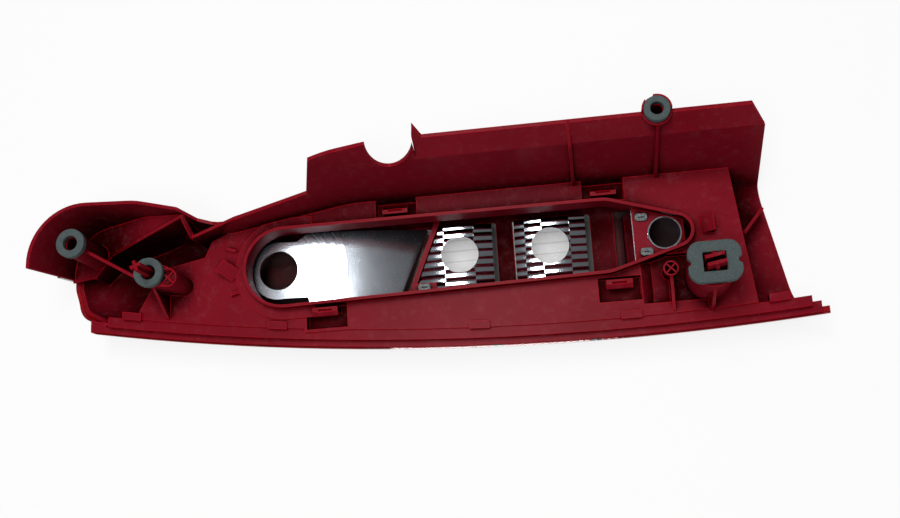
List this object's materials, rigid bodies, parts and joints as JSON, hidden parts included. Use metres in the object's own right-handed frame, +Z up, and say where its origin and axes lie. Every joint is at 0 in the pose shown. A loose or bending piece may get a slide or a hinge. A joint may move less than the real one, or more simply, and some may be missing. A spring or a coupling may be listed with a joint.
{
  "type": "tail light cluster",
  "caption": "Long rear lamp lying lens down: a moulded red housing with fixing bosses, a collared carrier opening over metallised reflectors, coloured lenses and foam seals.",
  "frame": {"origin": "middle of the lamp's plan box, on the plane of its lens face", "axes": "+X along the lamp to its open end, +Y to the tall back wall, +Z up out of the back of the lamp, away from the lens"},
  "size_m": [0.5887, 0.152, 0.1275],
  "materials": {
    "housing": "gloss moulded",
    "red_lens": "clear red, polished",
    "clear_lens": "clear, polished",
    "reflector": "vacuum metallised",
    "foam": "closed-cell foam",
    "stud": "dull"
  },
  "bodies": {
    "root": {"housing": "housing", "stop_lens": "red_lens", "clear_lens": "clear_lens", "fog_lens": "red_lens", "stop_reflector": "reflector", "indicator_reflector": "reflector", "reversing_reflector": "reflector", "fog_reflector": "reflector", "stake_studs": "stud", "left_ring_seal": "foam", "pin_ring_seal": "foam", "top_ring_seal": "foam", "clip_seal": "foam"}
  },
  "joints": []
}
